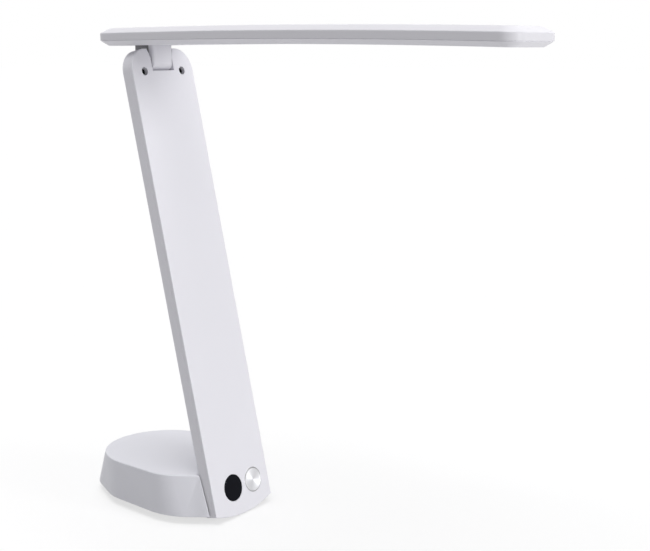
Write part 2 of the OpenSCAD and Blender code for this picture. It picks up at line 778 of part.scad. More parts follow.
module head_frame() {
    in_w = head_wall;
    lip_in = in_w + snug;
    low_in = bevel_w * (1 - floor_t / bevel_low_h);
    color("white") at_head() difference() {
        union() {
            head_form([[bevel_w, 0], [0, bevel_low_h]]);
            head_form([[lip_in, bevel_low_h - 0.5], [lip_in, bevel_low_h + 2]]);
        }
        head_form([[lip_in + 1.2 + low_in, floor_t], [lip_in + 1.2, bevel_low_h],
            [lip_in + 1.2, bevel_low_h + 3]]);
        bowed_plate(light_y0, -light_start, light_half, light_r, -2, floor_t + 2);
        // Flat seat for the tongue's flange, the way through for the tongue, and its four screw holes
        span([-flange_half - snug, flange_y[0] - snug, head_rise + floor_t],
            [flange_half + snug, flange_y[1] + snug, head_rise + floor_t + 4]);
        span([-tongue_w / 2 - snug, -tongue_front - snug, 0],
            [tongue_w / 2 + snug, tongue_back + snug, head_rise + floor_t + 2]);
        for (y = tongue_screw_y) both() translate([tongue_screw_x, y, head_rise]) {
            cylinder(r = screw_r + 0.2, h = floor_t + 1, $fn = round_fn);
            translate([0, 0, -2]) cylinder(r = screw_head_r + 0.3, h = 2 + 1.6, $fn = round_fn);
        }
    }
}
module hinge_tongue() {
    flange_low = head_rise + floor_t;
    color("white") at_head() difference() {
        union() {
            intersection() {
                span([-tongue_w / 2, -tongue_front, -tongue_below],
                    [tongue_w / 2, tongue_back, flange_low]);
                tongue_side();
                tongue_face();
            }
            span([-flange_half, flange_y[0], flange_low],
                [flange_half, flange_y[1], head_rise + flange_top - run]);
        }
        across(-big / 2, head_pin_r + run, big);
        for (y = tongue_screw_y) both() {
            translate([tongue_screw_x, y, 0]) cylinder(r = screw_r + 0.2, h = big, $fn = round_fn);
        }
        // Channel for the wires
        translate([0, 4.5, -tongue_below - 1]) cylinder(r = 1.8, h = big, $fn = round_fn);
    }
}
// Side view of the tongue: a barrel under a block
module tongue_side() {
    round_r = 2;
    across(-big / 2, tongue_below, big);
    span([-big, -big, 0], [big, big, big]);
    span([-big, 0, -tongue_below], [big, tongue_back - round_r, big]);
    span([-big, 0, -tongue_below + round_r], [big, big, big]);
    translate([0, tongue_back - round_r, -tongue_below + round_r]) across(-big / 2, round_r, big);
}
// Front view of the tongue: rounded lower corners
module tongue_face() {
    x = tongue_w / 2 - tongue_corner_r;
    z = -tongue_below + tongue_corner_r;
    span([-big, -big, z], [big, big, big]);
    span([-x, -big, -big], [x, big, big]);
    both() translate([x, -big / 2, z]) rotate([-90, 0, 0])
        cylinder(r = tongue_corner_r, h = big, $fn = round_fn);
}
module tongue_screws() {
    color("gray") at_head() for (y = tongue_screw_y) both() {
        translate([tongue_screw_x, y, head_rise + 1.6]) screw(tongue_screw_len);
    }
}
module diffuser() {
    rebate = 1.5;
    color("ivory") at_head() {
        bowed_plate(light_y0 + snug, -light_start - snug, light_half - snug, light_r, 0.3, floor_t + 0.1);
        bowed_plate(light_y0 - rebate, -light_start + rebate, light_half + rebate, light_r,
            floor_t + 0.02, floor_t + 1);
    }
}
module led_board() {
    color("white") at_head() bowed_plate(light_y0 + 4, -light_start - 4, light_half - 2, 2,
        ceiling - board_t - run, ceiling - run);
}
module leds() {
    led = [2.8, 3.5, 0.8];
    end_gap = 12;
    y0 = light_y0 + end_gap;
    step = (-light_start - end_gap - y0) / (led_count - 1);
    middle = ceiling - board_t - run - led[2] / 2 - 0.025;
    color("khaki") at_head() for (i = [0:led_count - 1]) for (s = [-1, 1]) let (y = y0 + i * step) {
        translate([s * led_row_gap / 2, y, head_rise + camber(y) + middle])
            rotate([atan((crown_y - y) / camber_r), 0, 0]) cube(led, center = true);
    }
}

base_shell();
bottom_plate();
ballast_weight();
rubber_feet();
plate_screws();
power_inlet();
inlet_contact();
fold_bracket();
fold_bracket_screws();
fold_pin();
fold_washers();
stem_rear_shell();
stem_front_cover();
fold_leaf();
fold_leaf_screws();
cover_screws();
head_hinge_bracket();
bracket_screws();
head_hinge_pin();
head_hinge_washers();
control_board();
tact_switch();
touch_pad();
touch_window();
button_ring();
power_button();
stem_wires();
head_top_shell();
head_frame();
hinge_tongue();
tongue_screws();
diffuser();
led_board();
leds();
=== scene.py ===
import math

import bmesh
import bpy
from mathutils import Matrix, Vector


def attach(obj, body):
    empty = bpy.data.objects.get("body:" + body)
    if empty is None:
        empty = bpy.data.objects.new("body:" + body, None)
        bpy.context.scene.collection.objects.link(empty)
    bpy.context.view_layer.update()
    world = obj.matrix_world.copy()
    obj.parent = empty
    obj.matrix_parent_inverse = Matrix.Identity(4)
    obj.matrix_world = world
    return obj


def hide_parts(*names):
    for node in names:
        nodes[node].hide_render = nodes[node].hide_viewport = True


# Folding LED desk lamp: its looks, around the frame's model. Lengths are in millimetres up to make_piece.
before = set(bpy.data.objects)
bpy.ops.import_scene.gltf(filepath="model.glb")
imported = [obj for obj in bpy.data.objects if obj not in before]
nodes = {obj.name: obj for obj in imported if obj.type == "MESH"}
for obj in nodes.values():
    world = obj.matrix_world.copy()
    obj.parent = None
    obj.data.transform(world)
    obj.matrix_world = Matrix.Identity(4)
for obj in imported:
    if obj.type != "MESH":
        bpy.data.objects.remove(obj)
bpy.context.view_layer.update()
scene = bpy.context.scene
MM = 0.001

# Camera: stands to the left in front of the lamp, at the height of its head
CAMERA_AT = (-657.8, -621.1, 330.3)
CAMERA_TURN = -54.27
CAMERA_DOWN = 10.45
CAMERA_LENS = 69.24
camera_data = bpy.data.cameras.new("camera")
camera_data.sensor_width = 36
camera_data.sensor_fit = "HORIZONTAL"
camera_data.lens = CAMERA_LENS
camera = bpy.data.objects.new("camera", camera_data)
scene.collection.objects.link(camera)
camera.location = Vector(CAMERA_AT) * MM
camera.rotation_euler = (math.radians(90 - CAMERA_DOWN), 0, math.radians(CAMERA_TURN))
scene.camera = camera
scene.view_settings.view_transform = "Standard"

# Measures of the CAD part that the pieces below share
LEAN = math.radians(12.7)
STEM_FOOT = Vector((0, -77, 6.0679))
STEM_LEN, STEM_HALF, STEM_T, STEM_DRAFT = 330, 31.6, 9.5, 0.8
STEM_TOP_R, STEM_SAG, COVER_T, STEM_WALL = 15.5, 5.4, 2.3, 1.8
SLOT_HALF, SLOT_DEEP, EAR_CHAMFER = 10.75, 15.6, (2.2, 6)
HEAD_AXIS = Vector((0, -1.5977, 319.0482))
HEAD_RISE, HEAD_TIP, HEAD_REAR, HEAD_HALF, HEAD_CORNER = 11.5, -296.4, 33, 29, 12
SEAM_Z, BAND_Z, HEAD_T, HEAD_WALL = 3.6, 8.7, 12.15, 1.8
TOP_BEVEL, LOW_BEVEL, HEAD_LIFT, LIFT_FROM = 7.2, 5.9, 0.0026, -180
BOW_R, BOW_TOP = 7800, 203 - 296.4
FOLD_AXIS = Vector((0, -57.233, 30.1))
RIM_Z, SHELL_Z, BASE_WALL = 34.2, 5.4, 2.5
CONTROL_UP, WINDOW_X, BUTTON_X = 15, -8.5, 13.6
STEM_FACING = Vector((0, -math.cos(LEAN), math.sin(LEAN)))


# --- Places ---
def as_placed(x, y, z):
    """A point given straight in the frame."""
    return Vector((x, y, z))


def in_stem(x, deep, up):
    """A point of the stem: from the middle, behind its front face, and up along it."""
    s, c = math.sin(LEAN), math.cos(LEAN)
    return STEM_FOOT + Vector((x, deep * c + up * s, -deep * s + up * c))


def bow(y):
    """Rise of the head at a place along it."""
    return (BOW_TOP ** 2 - (y - BOW_TOP) ** 2) / (2 * BOW_R) + HEAD_LIFT * (LIFT_FROM - y)


def in_head(x, y, z):
    """A point of the head: across, along from the hinge, and up from its bowed underside."""
    return HEAD_AXIS + Vector((x, y, z + HEAD_RISE + bow(y)))


def above_axis(x, y, z):
    """A point of the head without its bow: across, along and up from the hinge."""
    return HEAD_AXIS + Vector((x, y, z))


def stem_turn():
    """Turns +Z to the stem's front."""
    return Matrix.Rotation(math.radians(90) - LEAN, 3, "X")


# --- Meshes ---
def make_piece(name, points, faces):
    """A mesh object from points in millimetres, with its faces pointing outwards."""
    mesh = bpy.data.meshes.new(name)
    mesh.from_pydata([Vector(p) * MM for p in points], [], faces)
    work = bmesh.new()
    work.from_mesh(mesh)
    bmesh.ops.remove_doubles(work, verts=work.verts, dist=1e-7)
    bmesh.ops.dissolve_degenerate(work, edges=work.edges, dist=1e-7)
    bmesh.ops.recalc_face_normals(work, faces=work.faces)
    work.to_mesh(mesh)
    work.free()
    piece = bpy.data.objects.new(name, mesh)
    scene.collection.objects.link(piece)
    return piece


def soften(profile, radii, steps=5):
    """The profile with each inner corner rounded by its radius."""
    out = []
    for i, (corner, r) in enumerate(zip(profile, radii)):
        p = Vector(corner)
        if r == 0 or i in (0, len(profile) - 1):
            out.append(p)
            continue
        a = (Vector(profile[i - 1]) - p).normalized()
        b = (Vector(profile[i + 1]) - p).normalized()
        half = a.angle(b) / 2
        centre = p + (a + b).normalized() * (r / math.sin(half))
        u = p + a * (r / math.tan(half)) - centre
        v = p + b * (r / math.tan(half)) - centre
        turn = u.angle(v)
        for k in range(steps + 1):
            t = k / steps
            out.append(centre + (u * math.sin((1 - t) * turn) + v * math.sin(t * turn)) / math.sin(turn))
    return out


def walls_between(count, size):
    """Quads that join rings of the same size one after the other."""
    return [
        (k * size + i, k * size + (i + 1) % size, (k + 1) * size + (i + 1) % size, (k + 1) * size + i)
        for k in range(count - 1)
        for i in range(size)
    ]


def loft(name, rings, strip_caps=False):
    """A closed solid through rings of equal size. Strip caps join the two halves of a symmetric ring."""
    size, last = len(rings[0]), (len(rings) - 1) * len(rings[0])
    faces = walls_between(len(rings), size)
    if strip_caps:
        for start in (0, last):
            faces += [
                (start + i, start + i + 1, start + size - 2 - i, start + size - 1 - i)
                for i in range(size // 2 - 1)
            ]
    else:
        faces += [tuple(range(size)), tuple(range(last, last + size))]
    return make_piece(name, [p for ring in rings for p in ring], faces)


def lathe(name, profile, place, turn, sides=96):
    """A profile of (radius, height) spun about its own Z, then turned and put in place."""
    points, faces, rows = [], [], []
    for r, z in profile:
        if r < 1e-6:
            rows.append([len(points)] * sides)
            points.append(Vector((0, 0, z)))
        else:
            rows.append(list(range(len(points), len(points) + sides)))
            for i in range(sides):
                a = 2 * math.pi * i / sides
                points.append(Vector((r * math.cos(a), r * math.sin(a), z)))
    for low, high in zip(rows, rows[1:]):
        for i in range(sides):
            j = (i + 1) % sides
            face = list(dict.fromkeys((low[i], low[j], high[j], high[i])))
            if len(face) > 2:
                faces.append(face)
    return make_piece(name, [turn @ p + place for p in points], faces)


def prism(name, outline, low, high, place):
    """A flat outline drawn out between two heights. place maps (u, v, height) to a point."""
    rings = [[place(u, v, h) for u, v in outline] for h in (low, high)]
    return loft(name, rings)


def quarter(cx, cy, r, start, steps=10):
    """Points of a quarter round, from a start angle on."""
    angles = (math.radians(start + 90 * k / steps) for k in range(steps + 1))
    return [(cx + r * math.cos(a), cy + r * math.sin(a)) for a in angles]


def rounded_box(x0, x1, y0, y1, r, steps=8):
    """Corner points of a rectangle with rounded corners, counted round it."""
    centres = ((x1 - r, y1 - r), (x0 + r, y1 - r), (x0 + r, y0 + r), (x1 - r, y0 + r))
    return [p for k, (cx, cy) in enumerate(centres) for p in quarter(cx, cy, r, 90 * k, steps)]


def cut(piece, tools, operation="DIFFERENCE"):
    """Takes the tools away from the piece, one after the other, and deletes them."""
    for tool in tools:
        step = piece.modifiers.new("cut", "BOOLEAN")
        step.operation = operation
        step.solver = "EXACT"
        step.object = tool
        bake(piece)
        bpy.data.objects.remove(tool)


def bake(piece):
    """Turns the piece's live modifiers into its plain mesh."""
    bpy.context.view_layer.update()
    graph = bpy.context.evaluated_depsgraph_get()
    done = bpy.data.meshes.new_from_object(piece.evaluated_get(graph))
    piece.modifiers.clear()
    old = piece.data
    piece.data = done
    done.name = piece.name
    bpy.data.meshes.remove(old)


def score(piece, point, normal):
    """Splits the piece's faces where a plane passes through them."""
    work = bmesh.new()
    work.from_mesh(piece.data)
    geometry = work.verts[:] + work.edges[:] + work.faces[:]
    bmesh.ops.bisect_plane(work, geom=geometry, dist=1e-7, plane_co=Vector(point) * MM, plane_no=normal)
    work.to_mesh(piece.data)
    work.free()


def second_finish(piece, finish, chosen):
    """Gives the chosen faces of a piece another material."""
    piece.data.materials.append(finish)
    for face in piece.data.polygons:
        face.material_index = 1 if chosen(face) else 0


def shade(piece, sharp=32):
    """Smooth shading that stays crisp at corners sharper than the angle, with flat areas kept flat."""
    piece.data.shade_smooth()
    piece.data.set_sharp_from_angle(angle=math.radians(sharp))
    weigh = piece.modifiers.new("weigh", "WEIGHTED_NORMAL")
    weigh.keep_sharp = True
    weigh.weight = 100
    bake(piece)


# --- Materials ---
def tree_of(name):
    """A new material, with its node tree and its Principled shader."""
    material = bpy.data.materials.new(name)
    material.use_nodes = True
    tree = material.node_tree
    return material, tree, tree.nodes["Principled BSDF"]


def place_on(tree, scale=(1, 1, 1), move=(0, 0, 0), turn=(0, 0, 0)):
    """Object coordinates through a Mapping node."""
    where = tree.nodes.new("ShaderNodeTexCoord")
    mapping = tree.nodes.new("ShaderNodeMapping")
    mapping.inputs["Location"].default_value = move
    mapping.inputs["Rotation"].default_value = turn
    mapping.inputs["Scale"].default_value = scale
    tree.links.new(where.outputs["Object"], mapping.inputs["Vector"])
    return mapping.outputs["Vector"]


def noise_on(tree, vector, scale, detail=2.0, rough=0.5):
    node = tree.nodes.new("ShaderNodeTexNoise")
    node.inputs["Scale"].default_value = scale
    node.inputs["Detail"].default_value = detail
    node.inputs["Roughness"].default_value = rough
    tree.links.new(vector, node.inputs["Vector"])
    return node.outputs["Fac"]


def blend_of(tree, fac, low, high):
    """A colour between two colours."""
    ramp = tree.nodes.new("ShaderNodeValToRGB")
    ramp.color_ramp.elements[0].position = 0.3
    ramp.color_ramp.elements[1].position = 0.7
    ramp.color_ramp.elements[0].color = (*low, 1)
    ramp.color_ramp.elements[1].color = (*high, 1)
    tree.links.new(fac, ramp.inputs["Fac"])
    return ramp.outputs["Color"]


def range_of(tree, fac, low, high):
    node = tree.nodes.new("ShaderNodeMapRange")
    node.inputs["To Min"].default_value = low
    node.inputs["To Max"].default_value = high
    tree.links.new(fac, node.inputs["Value"])
    return node.outputs["Result"]


def bump_on(tree, shader, height, strength, distance, before=None):
    """Relief from a height. Distance is in millimetres."""
    node = tree.nodes.new("ShaderNodeBump")
    node.inputs["Strength"].default_value = strength
    node.inputs["Distance"].default_value = distance * MM
    tree.links.new(height, node.inputs["Height"])
    if before is not None:
        tree.links.new(before, node.inputs["Normal"])
    tree.links.new(node.outputs["Normal"], shader.inputs["Normal"])
    return node.outputs["Normal"]


def moulded(name, colour, rough=0.4, grain=2600, relief=0.012, drift=0.012, level=0.5):
    """Moulded plastic: fine spark-eroded grain, a slow drift of tone, and softly varied gloss."""
    material, tree, shader = tree_of(name)
    vector = place_on(tree)
    slow = noise_on(tree, vector, 9, 3)
    fine = noise_on(tree, vector, grain, 2, 0.6)
    low = [c * (1 - drift) for c in colour]
    high = [min(1, c * (1 + drift)) for c in colour]
    tree.links.new(blend_of(tree, slow, low, high), shader.inputs["Base Color"])
    tree.links.new(range_of(tree, fine, rough - 0.05, rough + 0.05), shader.inputs["Roughness"])
    shader.inputs["Specular IOR Level"].default_value = level
    bump_on(tree, shader, fine, 0.35, relief)
    return material


def brushed(name, colour, rough=0.32, along=(1, 1, 1), relief=0.01):
    """Steel with a grain drawn out along one way."""
    material, tree, shader = tree_of(name)
    lines = noise_on(tree, place_on(tree, along), 3000, 3, 0.6)
    blotch = noise_on(tree, place_on(tree), 120, 3)
    low = [c * 0.86 for c in colour]
    tree.links.new(blend_of(tree, lines, low, colour), shader.inputs["Base Color"])
    tree.links.new(range_of(tree, blotch, rough - 0.07, rough + 0.1), shader.inputs["Roughness"])
    shader.inputs["Metallic"].default_value = 1
    bump_on(tree, shader, lines, 0.4, relief)
    return material


def spun(name, colour, centre):
    """Metal turned on a lathe: fine rings about a centre, with the wide streaks that they give."""
    material, tree, shader = tree_of(name)
    vector = place_on(tree, move=tuple(-c * MM for c in centre))
    turned = tree.nodes.new("ShaderNodeVectorRotate")
    turned.rotation_type = "X_AXIS"
    turned.inputs["Angle"].default_value = -(math.radians(90) - LEAN)
    tree.links.new(vector, turned.inputs["Vector"])
    rings = tree.nodes.new("ShaderNodeTexWave")
    rings.wave_type = "RINGS"
    rings.rings_direction = "Z"
    rings.inputs["Scale"].default_value = 1400
    rings.inputs["Distortion"].default_value = 0.4
    tree.links.new(turned.outputs["Vector"], rings.inputs["Vector"])
    fac = rings.outputs["Fac"]
    low = [c * 0.94 for c in colour]
    tree.links.new(blend_of(tree, fac, low, colour), shader.inputs["Base Color"])
    tree.links.new(range_of(tree, fac, 0.5, 0.58), shader.inputs["Roughness"])
    shader.inputs["Metallic"].default_value = 1
    shader.inputs["Anisotropic"].default_value = 0.68
    shader.inputs["Anisotropic Rotation"].default_value = 0.08
    outward = tree.nodes.new("ShaderNodeVectorTransform")
    outward.vector_type = "VECTOR"
    outward.convert_from, outward.convert_to = "OBJECT", "WORLD"
    tree.links.new(vector, outward.inputs[0])
    tree.links.new(outward.outputs[0], shader.inputs["Tangent"])
    bump_on(tree, shader, fac, 0.25, 0.004)
    return material


def gloss(name, colour, rough=0.08, level=0.16):
    """Glossy plastic window with faint handling haze."""
    material, tree, shader = tree_of(name)
    haze = noise_on(tree, place_on(tree), 260, 4, 0.65)
    high = [c * 1.3 for c in colour]
    tree.links.new(blend_of(tree, haze, colour, high), shader.inputs["Base Color"])
    tree.links.new(range_of(tree, haze, rough, rough + 0.1), shader.inputs["Roughness"])
    shader.inputs["Specular IOR Level"].default_value = level
    bump_on(tree, shader, haze, 0.1, 0.01)
    return material


def cast(name, colour, rough=0.6):
    """Rough casting with a pebbled skin and darker patches."""
    material, tree, shader = tree_of(name)
    vector = place_on(tree)
    pebble = tree.nodes.new("ShaderNodeTexVoronoi")
    pebble.inputs["Scale"].default_value = 700
    tree.links.new(vector, pebble.inputs["Vector"])
    patch = noise_on(tree, vector, 60, 4)
    low = [c * 0.7 for c in colour]
    tree.links.new(blend_of(tree, patch, low, colour), shader.inputs["Base Color"])
    tree.links.new(range_of(tree, patch, rough, rough + 0.2), shader.inputs["Roughness"])
    shader.inputs["Metallic"].default_value = 0.85
    bump_on(tree, shader, pebble.outputs["Distance"], 0.5, 0.15)
    return material


def rubbery(name, colour, rough=0.75):
    """Soft rubber or nylon: matt, slightly dusty on its high spots."""
    material, tree, shader = tree_of(name)
    vector = place_on(tree)
    dust = noise_on(tree, vector, 420, 4, 0.7)
    high = [min(1, c * 1.45 + 0.01) for c in colour]
    tree.links.new(blend_of(tree, dust, colour, high), shader.inputs["Base Color"])
    tree.links.new(range_of(tree, dust, rough - 0.08, rough + 0.08), shader.inputs["Roughness"])
    shader.inputs["Sheen Weight"].default_value = 0.1
    bump_on(tree, shader, dust, 0.4, 0.03)
    return material


def circuit(name, mask, track):
    """Solder mask over a fine net of tracks."""
    material, tree, shader = tree_of(name)
    vector = place_on(tree, turn=(LEAN, 0, 0))
    net = tree.nodes.new("ShaderNodeTexBrick")
    net.inputs["Scale"].default_value = 160
    net.inputs["Mortar Size"].default_value = 0.06
    net.inputs["Color1"].default_value = (*mask, 1)
    net.inputs["Color2"].default_value = (*[c * 0.9 for c in mask], 1)
    net.inputs["Mortar"].default_value = (*track, 1)
    tree.links.new(vector, net.inputs["Vector"])
    tree.links.new(net.outputs["Color"], shader.inputs["Base Color"])
    speck = noise_on(tree, vector, 500, 3)
    tree.links.new(range_of(tree, speck, 0.3, 0.42), shader.inputs["Roughness"])
    bump_on(tree, shader, net.outputs["Fac"], 0.3, 0.03)
    return material


def opal(name, colour):
    """Milky diffuser sheet: light sinks in a little, under a satin face with a fine prism grain."""
    material, tree, shader = tree_of(name)
    vector = place_on(tree)
    milk = noise_on(tree, vector, 14, 3)
    fine = noise_on(tree, vector, 1900, 2, 0.6)
    low = [c * 0.985 for c in colour]
    tree.links.new(blend_of(tree, milk, low, colour), shader.inputs["Base Color"])
    tree.links.new(range_of(tree, fine, 0.3, 0.4), shader.inputs["Roughness"])
    shader.inputs["Subsurface Weight"].default_value = 0.25
    shader.inputs["Subsurface Scale"].default_value = 2 * MM
    bump_on(tree, shader, fine, 0.3, 0.01)
    return material


SHELL_WHITE = (0.80, 0.793, 0.84)
BASE_WHITE = (0.775, 0.775, 0.825)
HEAD_WHITE = (0.808, 0.800, 0.841)
ALONG_X, ALONG_UP = (0.04, 1, 1), (1, 1, 0.04)
BUTTON_CENTRE = in_stem(BUTTON_X, 0, CONTROL_UP)

stem_white = moulded("stem_satin_white", SHELL_WHITE)
base_white = moulded("base_satin_white", BASE_WHITE, rough=0.44, grain=2200, relief=0.014)
head_white = moulded("head_satin_white", HEAD_WHITE, rough=0.38, level=0.15)
neck_white = moulded("neck_satin_white", SHELL_WHITE, rough=0.42)
# Dark grey metal for the rear of the neck's sides: painted shade for the deep shadow under the head.
neck_side_shade = brushed("neck_side_painted_shade", (0.20, 0.20, 0.21), 0.5, ALONG_UP)
# Near-black for the bay's side faces beside the stem: painted shade that darkens the seam between base and
# stem.
seam_shade_paint = rubbery("seam_painted_shade", (0.03, 0.03, 0.033), 0.8)
plate_white = moulded("plate_matt_white", (0.70, 0.70, 0.72), rough=0.55, grain=1500, relief=0.03)
socket_black = moulded("socket_black_plastic", (0.03, 0.03, 0.034), rough=0.45, level=0.4)
window_black = gloss("window_gloss_black", (0.0025, 0.0028, 0.0055), level=0.055)
button_metal = spun("button_spun_aluminium", (0.65, 0.65, 0.67), BUTTON_CENTRE)
ring_metal = brushed("ring_satin_aluminium", (0.46, 0.46, 0.47), 0.35, ALONG_X, 0.004)
hinge_steel = brushed("hinge_stamped_steel", (0.58, 0.58, 0.60), 0.34, ALONG_X)
pin_steel = brushed("pin_ground_steel", (0.62, 0.62, 0.64), 0.22, ALONG_X, 0.004)
screw_steel = brushed("screw_zinc_steel", (0.60, 0.60, 0.61), 0.3, ALONG_UP)
# Black-oxide steel for the ear screws, darkened further as painted shade for the deep recesses they sit in.
screw_dark_and_shade = brushed("screw_black_steel_and_shade", (0.012, 0.012, 0.014), 0.45, ALONG_UP)
contact_brass = brushed("contact_brass", (0.80, 0.62, 0.30), 0.25, ALONG_X)
weight_iron = cast("weight_cast_iron", (0.22, 0.22, 0.23))
foot_rubber = rubbery("foot_rubber", (0.16, 0.16, 0.17))
washer_nylon = rubbery("washer_black_nylon", (0.04, 0.04, 0.042), 0.5)
wire_red = rubbery("wire_sleeve", (0.55, 0.05, 0.05), 0.45)
board_green = circuit("control_board_green", (0.02, 0.16, 0.07), (0.05, 0.28, 0.13))
board_white = circuit("light_board_white", (0.80, 0.80, 0.80), (0.70, 0.70, 0.68))
led_yellow = gloss("led_phosphor", (0.78, 0.62, 0.20), 0.3, 0.4)
light_opal = opal("light_opal_sheet", (0.86, 0.86, 0.88))

NODE_FINISH = {
    "base_shell": base_white, "bottom_plate": plate_white, "ballast_weight": weight_iron,
    "rubber_feet": foot_rubber, "plate_screws": screw_steel, "power_inlet": socket_black,
    "inlet_contact": contact_brass, "fold_bracket": hinge_steel, "fold_bracket_screws": screw_steel,
    "fold_pin": pin_steel, "fold_washers": washer_nylon, "stem_rear_shell": stem_white,
    "stem_front_cover": stem_white, "fold_leaf": hinge_steel, "fold_leaf_screws": screw_steel,
    "cover_screws": screw_dark_and_shade, "head_hinge_bracket": hinge_steel, "bracket_screws": screw_steel,
    "head_hinge_pin": pin_steel, "head_hinge_washers": washer_nylon, "control_board": board_green,
    "tact_switch": socket_black, "touch_pad": contact_brass, "touch_window": window_black,
    "button_ring": ring_metal, "power_button": button_metal, "stem_wires": wire_red,
    "head_top_shell": head_white, "head_frame": head_white, "hinge_tongue": neck_white,
    "tongue_screws": screw_steel, "diffuser": light_opal, "led_board": board_white, "leds": led_yellow,
}
for name, finish in NODE_FINISH.items():
    mesh = nodes[name].data
    mesh.materials.clear()
    mesh.materials.append(finish)
    mesh.shade_flat()


def dress(piece, finish, slot, body, *replaced):
    """Gives a finished piece its material and lets it stand for its CAD nodes. The slot is not used."""
    piece.data.materials.clear()
    piece.data.materials.append(finish)
    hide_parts(*replaced)
    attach(piece, body)


# --- Head: two shells that follow the bow ---
ARC_STEPS, SIDE_STEPS = 12, 48


def head_ring(inset, z, y0=HEAD_TIP, y1=HEAD_REAR, half=HEAD_HALF, corner=HEAD_CORNER):
    """Outline of the head seen from above, drawn in by inset: its right side, then its left side back."""
    r = corner - inset
    low, high, x = y0 + corner, y1 - corner, half - corner
    side = [(x + r * math.sin(a), low - r * math.cos(a))
            for a in (math.pi / 2 * i / ARC_STEPS for i in range(ARC_STEPS + 1))]
    side += [(x + r, low + (high - low) * i / SIDE_STEPS) for i in range(1, SIDE_STEPS)]
    side += [(x + r * math.cos(a), high + r * math.sin(a))
             for a in (math.pi / 2 * i / ARC_STEPS for i in range(ARC_STEPS + 1))]
    return [in_head(x, y, z) for x, y in side + [(-x, y) for x, y in reversed(side)]]


def head_loft(name, profile, radii, **outline):
    return loft(name, [head_ring(i, z, **outline) for i, z in soften(profile, radii)], strip_caps=True)


FLAT_IN = HEAD_CORNER - 0.5
cap = head_loft("head_cap",
    [(FLAT_IN, 10.4), (6.6, 10.4), (HEAD_WALL, 8.3), (HEAD_WALL, SEAM_Z), (0, SEAM_Z), (0, BAND_Z),
     (TOP_BEVEL, HEAD_T), (FLAT_IN, HEAD_T)],
    [0, 0, 0, 0, 0.3, 1, 9, 0])
shade(cap)
dress(cap, head_white, "head_plastic", "head", "head_top_shell")

LIP_IN = HEAD_WALL + 0.15
tray = head_loft("head_tray",
    [(FLAT_IN, 0), (LOW_BEVEL, 0), (0, SEAM_Z), (LIP_IN, SEAM_Z), (LIP_IN, 5.6), (LIP_IN + 1.2, 5.6),
     (LIP_IN + 1.2, SEAM_Z), (5.8, 2.4), (FLAT_IN, 2.4)],
    [0, 1.5, 0.3, 0, 0.2, 0.2, 0, 0, 0])
LIGHT_Y0, LIGHT_Y1, LIGHT_HALF, LIGHT_R = HEAD_TIP + 11, -44, 18, 4
TONGUE_HALF, TONGUE_Y0, TONGUE_Y1 = 9.7, -6.4, 11.8
TONGUE_GAP, TRAY_WAY_TOP, TONGUE_SCREW_WAY_R = 0.15, 16, 2.8
TONGUE_SCREWS = [(s * 13, y) for y in (-14, 20) for s in (-1, 1)]
light_outline = rounded_box(-LIGHT_HALF, LIGHT_HALF, LIGHT_Y0, LIGHT_Y1, LIGHT_R)
tongue_outline = rounded_box(-TONGUE_HALF - TONGUE_GAP, TONGUE_HALF + TONGUE_GAP, TONGUE_Y0 - TONGUE_GAP,
    TONGUE_Y1 + TONGUE_GAP, 0.5)
screw_way = [(0, -2), (TONGUE_SCREW_WAY_R, -2), (TONGUE_SCREW_WAY_R, 1.6), (0, 1.6)]
cut(tray, [
    prism("light_way", light_outline, 0, TRAY_WAY_TOP, above_axis),
    prism("tongue_way", tongue_outline, 0, TRAY_WAY_TOP, above_axis),
] + [lathe("screw_way", screw_way, above_axis(x, y, HEAD_RISE), Matrix.Identity(3), 40)
    for x, y in TONGUE_SCREWS])
shade(tray)
dress(tray, head_white, "head_plastic", "head", "head_frame")

SHEET_OVER = 1.5
sheet_piece = head_loft("light_sheet",
    [(5.2, 0.35), (SHEET_OVER + 0.1, 0.35), (SHEET_OVER + 0.1, 2.42), (0, 2.42), (0, 3.4), (5.2, 3.4)],
    [0, 0.35, 0, 0, 0, 0],
    y0=LIGHT_Y0 - SHEET_OVER, y1=LIGHT_Y1 + SHEET_OVER, half=LIGHT_HALF + SHEET_OVER,
    corner=LIGHT_R + SHEET_OVER)
shade(sheet_piece)
dress(sheet_piece, light_opal, "diffuser_opal", "head", "diffuser")

# --- Neck: the block between the ears, rounded in its side view and its front view ---
NECK_LOW, NECK_TOP, NECK_EDGE, NECK_ROUND, NECK_SHADE_FROM = -6.8, 13.8, 2.2, 7.2, -1.5
NECK_REAR_EDGE, NECK_BEVEL, PIN_WAY_R = 0.8, 0.6, 1.55
top_view = (quarter(NECK_EDGE - TONGUE_HALF, TONGUE_Y0 + NECK_EDGE, NECK_EDGE, 180)
    + quarter(TONGUE_HALF - NECK_EDGE, TONGUE_Y0 + NECK_EDGE, NECK_EDGE, 270)
    + quarter(TONGUE_HALF - NECK_REAR_EDGE, TONGUE_Y1 - NECK_REAR_EDGE, NECK_REAR_EDGE, 0)
    + quarter(NECK_REAR_EDGE - TONGUE_HALF, TONGUE_Y1 - NECK_REAR_EDGE, NECK_REAR_EDGE, 90))
side_view = soften(
    [(TONGUE_Y0 - 1, NECK_TOP + 1), (TONGUE_Y0, NECK_TOP + 1), (TONGUE_Y0, NECK_LOW),
     (TONGUE_Y1 + 1, NECK_LOW), (TONGUE_Y1 + 1, NECK_TOP + 1)],
    [0, 0, NECK_ROUND, 0, 0], 14)[1:]
neck = prism("neck_block", top_view, NECK_LOW - 1, NECK_TOP, above_axis)
cut(neck, [prism("neck_side", side_view, -TONGUE_HALF - 1, TONGUE_HALF + 1,
    lambda y, z, x: above_axis(x, y, z))], "INTERSECT")
edge = neck.modifiers.new("edge", "BEVEL")
edge.width = NECK_BEVEL * MM
edge.segments = 3
edge.limit_method = "ANGLE"
edge.angle_limit = math.radians(40)
bake(neck)
